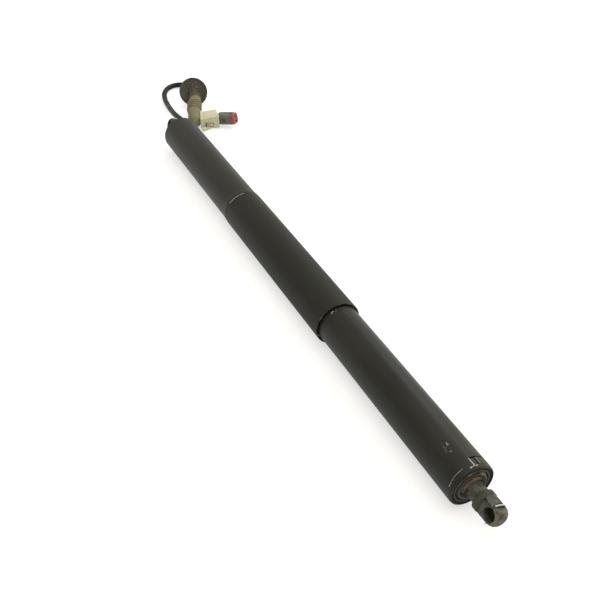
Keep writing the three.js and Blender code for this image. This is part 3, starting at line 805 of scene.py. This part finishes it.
def rim_highlight_and_scuffs(f, colour):
    """Painted highlight along the sleeve's rim at the shoulder, and scuffs at its mouth."""
    angle = f.angle()
    # painted highlight: a bright line along the shoulder's crest on its upper arc, standing in for
    # light caught by the rounded edge
    crest_highlight = f.both(f.band(f.x, (SHOULDER_X - 0.3) * MM, (SHOULDER_X + 0.9) * MM, 0.0002),
                   f.band(angle, 90, 140, 6), f.ramp(f.noise(300, 3), 0.30, 0.55))
    colour = f.mix(crest_highlight, colour, (0.30, 0.28, 0.22))
    lip = f.both(f.ramp(f.x, (MOUTH_X - 0.7) * MM, (MOUTH_X - 0.2) * MM),
                 f.ramp(f.noise(160, 3), 0.45, 0.65))
    return f.mix(f.calc("MULTIPLY", lip, 0.6), colour, (0.12, 0.115, 0.09))


def rod_marks(f, colour):
    """Seam, scuffs below the mouth, the window's worn edges and a curved scratch."""
    angle = f.angle()
    seam_at = f.ramp(f.x, MOUTH_X * MM, ROD_RIM_X * MM, *SEAM_ANGLES)
    node = seam_at.node
    node.interpolation_type = "LINEAR"
    off = f.calc("SUBTRACT", angle, seam_at)
    before_window = f.ramp(f.x, (WINDOW[0] - 1.5) * MM, (WINDOW[0] - 0.9) * MM, 1, 0)
    light = f.both(f.band(off, -0.7, 0.5, 0.35), before_window, f.ramp(f.noise(240, 3), 0.25, 0.6))
    dark = f.both(f.band(off, 0.4, 1.3, 0.4), before_window)
    colour = f.mix(f.calc("MULTIPLY", light, 0.3), colour, (0.105, 0.095, 0.075))
    colour = f.mix(f.calc("MULTIPLY", dark, 0.4), colour, (0.006, 0.006, 0.005))
    worn = f.ramp(f.noise(520, 4), 0.34, 0.52)
    x0, x1, _, end = WINDOW
    side = f.both(f.band(f.x, (x0 + 0.4) * MM, (x1 + 0.3) * MM, 0.0003),
                  f.band(angle, end - 0.6, end + 2.0, 0.5), worn)
    corner = f.both(f.band(f.x, (x1 - 0.1) * MM, (x1 + 0.7) * MM, 0.00015),
                    f.band(angle, end - 6.5, end + 13, 1.5), worn)
    along = f.calc("ADD", f.calc("MULTIPLY", f.calc("SUBTRACT", angle, 113), 0.00003), 0.2664)
    wander = f.calc("MULTIPLY", f.calc("SUBTRACT", f.noise(130, 2), 0.5), 0.0012)
    scratch = f.both(f.band(f.calc("SUBTRACT", f.calc("ADD", f.x, wander), along), -0.00016,
                            0.00016, 0.00012),
                     f.band(angle, 113, 163, 1), f.ramp(f.noise(700, 3), 0.30, 0.5))
    patch = f.both(f.band(f.x, 0.2436, 0.2520, 0.0012), f.band(angle, 102, 115, 3),
                   f.ramp(f.noise(380, 5, 0.7), 0.55, 0.62))
    dashes = f.both(f.band(f.x, 0.0915, 0.0945, 0.0008), f.band(angle, 98, 118, 2),
                    f.ramp(f.noise(450, 3), 0.56, 0.62))
    for mask, tone in ((side, (0.42, 0.40, 0.32)), (corner, (0.42, 0.40, 0.32)),
                       (scratch, (0.30, 0.28, 0.23)), (patch, (0.21, 0.195, 0.15)),
                       (dashes, (0.26, 0.25, 0.20))):
        colour = f.mix(mask, colour, tone)
    tan = f.both(f.band(angle, 28, 66, 14), f.ramp(f.x, 0.235, 0.262))
    return f.mix(f.calc("MULTIPLY", tan, 0.45), colour, (0.075, 0.062, 0.042))


def moulded(name, base, worn, rough=0.6, specular=0.35, grain=900, wear=0.5, hollow_tone=None,
            extras=None):
    """Moulded plastic or rubber: cloudy tone, fine grain, worn edges and a darker tone in the
    hollows.
    """
    f = Finish(name)
    cloud = f.noise(70, 5, 0.6)
    fine = f.noise(grain, 3)
    colour = f.mix(f.ramp(cloud, 0.34, 0.70, 0, 0.55), base, [c * 0.72 for c in base])
    colour = f.mix(f.ramp(fine, 0.35, 0.7, 0, 0.28), colour, worn)
    if hollow_tone:
        # darker in the hollows: where the surface is concave, the colour is mixed towards a darker
        # tone
        node = f.nodes.new("ShaderNodeNewGeometry")
        hollow = f.ramp(node.outputs["Pointiness"], 0.40, 0.49, 1, 0)
        colour = f.mix(f.calc("MULTIPLY", hollow, 0.7), colour, hollow_tone)
    edge = f.calc("MULTIPLY", f.edges(), f.ramp(f.noise(260, 3), 0.36, 0.62))
    colour = f.mix(f.calc("MULTIPLY", edge, wear), colour, worn)
    if extras:
        colour = extras(f, colour)
    roughness = f.ramp(cloud, 0.3, 0.7, rough - 0.07, rough + 0.09)
    f.bump((fine, 0.16, 0.00012), (f.noise(260, 3), 0.12, 0.0004))
    return f.done(colour, roughness, 0.0, specular)


def metal(name, base, dull, rough=0.36, grain=(1, 30, 30), wear=None):
    """Machined metal: drawn lines, oily patches and small pits."""
    f = Finish(name)
    lines = f.noise(150, 4, 0.7, grain)
    patches = f.noise(60, 4, 0.6)
    colour = f.mix(f.ramp(patches, 0.4, 0.7, 0, 0.7), base, dull)
    colour = f.mix(f.ramp(lines, 0.5, 0.75, 0, 0.3), colour, [min(1, c * 1.25) for c in base])
    if wear:
        colour = f.mix(f.ramp(f.noise(340, 5, 0.7), 0.5, 0.62, 0, 0.8), colour, wear)
    roughness = f.ramp(patches, 0.35, 0.7, rough - 0.06, rough + 0.16)
    f.bump((lines, 0.10, 0.0001), (f.noise(1500, 2), 0.05, 0.0001))
    return f.done(colour, roughness, 1.0, 0.5)


def rust():
    f = Finish("rusty_steel")
    grain = f.noise(900, 5, 0.7)
    blotch = f.noise(260, 4, 0.6)
    angle = f.angle()
    colour = f.mix(f.ramp(blotch, 0.35, 0.65), (0.060, 0.040, 0.022), (0.20, 0.145, 0.09))
    colour = f.mix(f.ramp(grain, 0.52, 0.68, 0, 0.8), colour, (0.34, 0.28, 0.20))
    wet = f.both(f.ramp(angle, 30, 80), f.ramp(f.noise(140, 3), 0.3, 0.6, 0.7, 1))
    colour = f.mix(wet, (0.020, 0.020, 0.014), colour)
    f.bump((grain, 0.9, 0.0004), (blotch, 0.5, 0.0006))
    return f.done(colour, f.ramp(grain, 0.3, 0.7, 0.75, 0.95), 0.0, 0.2)


def socket_marks(f, colour):
    """Worn tan tip and scratches near the ball."""
    tip = f.both(f.ramp(f.x, (TIP_X - 5.4) * MM, (TIP_X - 1.9) * MM),
                 f.ramp(f.noise(300, 4), 0.35, 0.6))
    colour = f.mix(f.calc("MULTIPLY", tip, 0.75), colour, (0.13, 0.105, 0.07))
    scratched = f.both(f.band(f.x, 0.2880, 0.2935, 0.0006), f.band(f.angle(), 70, 112, 5),
                       f.ramp(f.noise(620, 5, 0.75, (1, 0.35, 0.35)), 0.56, 0.63))
    return f.mix(f.calc("MULTIPLY", scratched, 0.75), colour, (0.30, 0.285, 0.235))


def neck_marks(f, colour):
    """The ribbed neck and the ridge's edges are paler and browner than the disc."""
    neck = f.ramp(f.calc("ADD", f.x, f.calc("MULTIPLY", f.z, 0.35)), -0.3545, -0.3505)
    return f.mix(f.both(neck, f.ramp(f.noise(120, 3), 0.2, 0.6, 0.65, 1)), colour,
                 (0.155, 0.137, 0.074))


def cap_marks(f, colour):
    """Bright worn rings on the end cap's steps and tan residue above the neck."""
    across = f.calc("SUBTRACT", f.z, AXIS_Z * MM)
    far = f.calc("SQRT", f.calc("ADD", f.calc("MULTIPLY", across, across),
                                f.calc("MULTIPLY", f.y, f.y)))
    angle = f.angle()
    outer = f.both(f.band(far, 0.0150, 0.0156, 0.0002), f.band(angle, 95, 178, 6),
                   f.ramp(f.noise(420, 4), 0.42, 0.58))
    inner = f.both(f.band(far, 0.0131, 0.0142, 0.0002), f.band(angle, 88, 190, 8),
                   f.ramp(f.noise(300, 4), 0.46, 0.60))
    right = f.both(f.band(far, 0.0112, 0.0124, 0.0003), f.band(angle, 20, 62, 8))
    tan = f.both(f.band(far, 0.0092, 0.0150, 0.0012), f.band(angle, -10, 66, 16),
                 f.ramp(f.noise(150, 3), 0.3, 0.6))
    lug = f.both(f.band(angle, 68.4, 70.4, 0.4), f.ramp(far, 0.0170, 0.0173),
                 f.band(f.x, 0.2605, 0.2690, 0.0003))
    colour = f.mix(f.calc("MULTIPLY", tan, 0.5), colour, (0.070, 0.058, 0.038))
    for mask, tone in ((outer, (0.30, 0.28, 0.22)), (inner, (0.17, 0.16, 0.125)),
                       (right, (0.17, 0.155, 0.12)), (lug, (0.16, 0.155, 0.125))):
        colour = f.mix(mask, colour, tone)
    return colour


FINISHES = {
    "tube_paint": dusty_paint("tube_paint", (0.012, 0.012, 0.0085), (0.024, 0.024, 0.0175)),
    "rod_paint": dusty_paint("rod_paint", (0.008, 0.008, 0.0052), (0.016, 0.016, 0.0108),
                             rod_marks, 0.46),
    "sleeve_coating": dusty_paint("sleeve_coating", (0.008, 0.008, 0.0054),
                                  (0.015, 0.015, 0.0104), rim_highlight_and_scuffs, 0.58),
    "socket_plastic": moulded("socket_plastic", (0.026, 0.027, 0.019), (0.11, 0.105, 0.08), 0.6,
                              0.3, 1100, 0.5),
    "socket_worn": moulded("socket_worn", (0.020, 0.021, 0.0145), (0.11, 0.105, 0.08), 0.6,
                           0.3, 1100, 0.45, None, socket_marks),
    "cap_plastic": moulded("cap_plastic", (0.020, 0.021, 0.0145), (0.09, 0.088, 0.066), 0.62,
                           0.3, 1100, 0.3, None, cap_marks),
    "steel": metal("steel", (0.44, 0.43, 0.41), (0.28, 0.27, 0.24)),
    "zinc": metal("zinc", (0.55, 0.54, 0.50), (0.34, 0.33, 0.29), 0.34, (1, 8, 8),
                  (0.20, 0.17, 0.12)),
    "rusty_steel": rust(),
    "carbon": moulded("carbon", (0.030, 0.030, 0.034), (0.09, 0.09, 0.09), 0.7, 0.3, 1600, 0.3),
    "copper": metal("copper", (0.50, 0.24, 0.12), (0.32, 0.14, 0.07), 0.34, (30, 1, 1)),
    "brass": metal("brass", (0.56, 0.42, 0.19), (0.38, 0.28, 0.12), 0.34),
    "nylon": moulded("nylon", (0.66, 0.62, 0.50), (0.78, 0.75, 0.65), 0.5, 0.4, 800, 0.3),
    "rubber": moulded("rubber", (0.011, 0.011, 0.009), (0.045, 0.045, 0.036), 0.7, 0.3, 900, 0.4),
    "cable_jacket": moulded("cable_jacket", (0.005, 0.005, 0.0036), (0.020, 0.019, 0.014), 0.5,
                            0.2, 1300, 0.2),
    "grommet_rubber": moulded("grommet_rubber", (0.032, 0.031, 0.020), (0.20, 0.18, 0.125), 0.72,
                              0.25, 700, 0.75, (0.008, 0.008, 0.006), neck_marks),
    "boot_rubber": moulded("boot_rubber", (0.150, 0.133, 0.070), (0.25, 0.23, 0.135), 0.66, 0.25,
                           700, 0.4, (0.08, 0.07, 0.035)),
    "cream_plastic": moulded("cream_plastic", (0.45, 0.42, 0.275), (0.60, 0.57, 0.42), 0.55,
                             0.35, 800, 0.5, (0.20, 0.17, 0.09)),
    "green_silicone": moulded("green_silicone", (0.040, 0.205, 0.072), (0.08, 0.30, 0.13), 0.5,
                              0.4, 800, 0.4),
    "grey_plastic": moulded("grey_plastic", (0.096, 0.089, 0.066), (0.19, 0.18, 0.145), 0.6,
                            0.35, 900, 0.5, (0.03, 0.028, 0.02)),
    "red_plastic": moulded("red_plastic", (0.25, 0.042, 0.032), (0.38, 0.11, 0.085), 0.5, 0.4,
                           900, 0.5, (0.09, 0.02, 0.015)),
}


def coat(made, finish):
    made.data.materials.clear()
    made.data.materials.append(FINISHES[finish])
    return made


# ---------------------------------------------------------------- the assembly
for part in frame["record"]["subparts"]:
    node = frame["nodes"][part["node"]]
    if not node.material_slots:
        node.data.materials.append(None)
    for held in node.material_slots:
        held.material = FINISHES[part["material_slot"]]

coat(jacket, "cable_jacket")

piece(coat(motor_tube(), "tube_paint"), "housing", "tube_paint", "motor_tube")
piece(coat(sleeve(), "sleeve_coating"), "housing", "sleeve_coating", "sleeve")
piece(coat(rod_tube(), "rod_paint"), "rod", "tube_paint", "rod_tube")
piece(coat(rod_end_cap(), "cap_plastic"), "rod", "socket_plastic", "rod_end_cap")
piece(coat(rod_washer(), "rusty_steel"), "rod", "rusty_steel", "rod_washer")
piece(coat(socket("rod_socket_body", ROD_RIM_X - 3.2), "socket_worn"), "rod", "socket_plastic",
      "rod_socket")
piece(coat(clip("rod_clip_wire"), "zinc"), "rod_clip", "zinc", "rod_clip")
piece(coat(flip(socket("motor_socket_body", -MOTOR_RIM_X + 0.5)), "socket_plastic"), "housing",
      "socket_plastic", "motor_socket")
piece(coat(flip(clip("motor_clip_wire")), "zinc"), "motor_clip", "zinc", "motor_clip")
piece(coat(motor_end_cap(), "socket_plastic"), "housing", "socket_plastic", "motor_end_cap")
piece(coat(cable_gland(), "rubber"), "housing", "rubber", "cable_gland")
piece(coat(spindle(), "steel"), "spindle", "steel", "spindle")

spring = coat(return_spring(), "steel")
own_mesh(spring)
piece(spring, "housing", "steel", "return_spring")

on_cable = [
    piece(coat(grommet(), "grommet_rubber"), "housing", "grommet_rubber", "grommet"),
    piece(coat(harness_boot(), "boot_rubber"), "housing", "boot_rubber", "harness_boot"),
    piece(coat(connector_shell(), "cream_plastic"), "housing", "cream_plastic",
          "connector_shell"),
    piece(coat(connector_latch(), "cream_plastic"), "latch", "cream_plastic", "connector_latch"),
    piece(coat(connector_seal(), "green_silicone"), "housing", "green_silicone",
          "connector_seal"),
    piece(coat(connector_housing(), "grey_plastic"), "housing", "grey_plastic",
          "connector_housing"),
    piece(coat(connector_wedge(), "red_plastic"), "wedge", "red_plastic", "connector_wedge"),
]


# ---------------------------------------------------------------- floor and light
def floor():
    mesh = bpy.data.meshes.new("floor")
    mesh.from_pydata([(-4, -4, -0.0003), (4, -4, -0.0003), (4, 4, -0.0003), (-4, 4, -0.0003)], [],
                     [(0, 1, 2, 3)])
    made = bpy.data.objects.new("floor", mesh)
    bpy.context.collection.objects.link(made)
    f = Finish("floor_paper")
    paper = f.mix(f.ramp(f.noise(6, 3), 0.3, 0.7), (0.48, 0.48, 0.48), (0.5, 0.5, 0.5))
    f.shader.inputs["Emission Color"].default_value = (1, 1, 1, 1)
    f.shader.inputs["Emission Strength"].default_value = 0.55
    mesh.materials.append(f.done(paper, 0.9, 0.0, 0.0))


def softbox(name, at, aim, size, power):
    light = bpy.data.lights.new(name, "AREA")
    light.shape = "RECTANGLE"
    light.size, light.size_y = size
    light.energy = power
    made = bpy.data.objects.new(name, light)
    made.location = at
    made.rotation_euler = (Vector(aim) - Vector(at)).to_track_quat("-Z", "Y").to_euler()
    bpy.context.collection.objects.link(made)


floor()
world = bpy.data.worlds.new("studio")
world.use_nodes = True
world.node_tree.nodes["Background"].inputs["Color"].default_value = (1, 0.965, 0.88, 1)
world.node_tree.nodes["Background"].inputs["Strength"].default_value = 0.9
bpy.context.scene.world = world
softbox("back_light", (-0.4, 1.5, 1.3), (0, 0, 0), (1.6, 1.2), 22)
softbox("top_light", (0.1, -0.3, 2.0), (0, 0, 0), (1.6, 1.6), 14)
bpy.context.scene.view_settings.view_transform = "Standard"
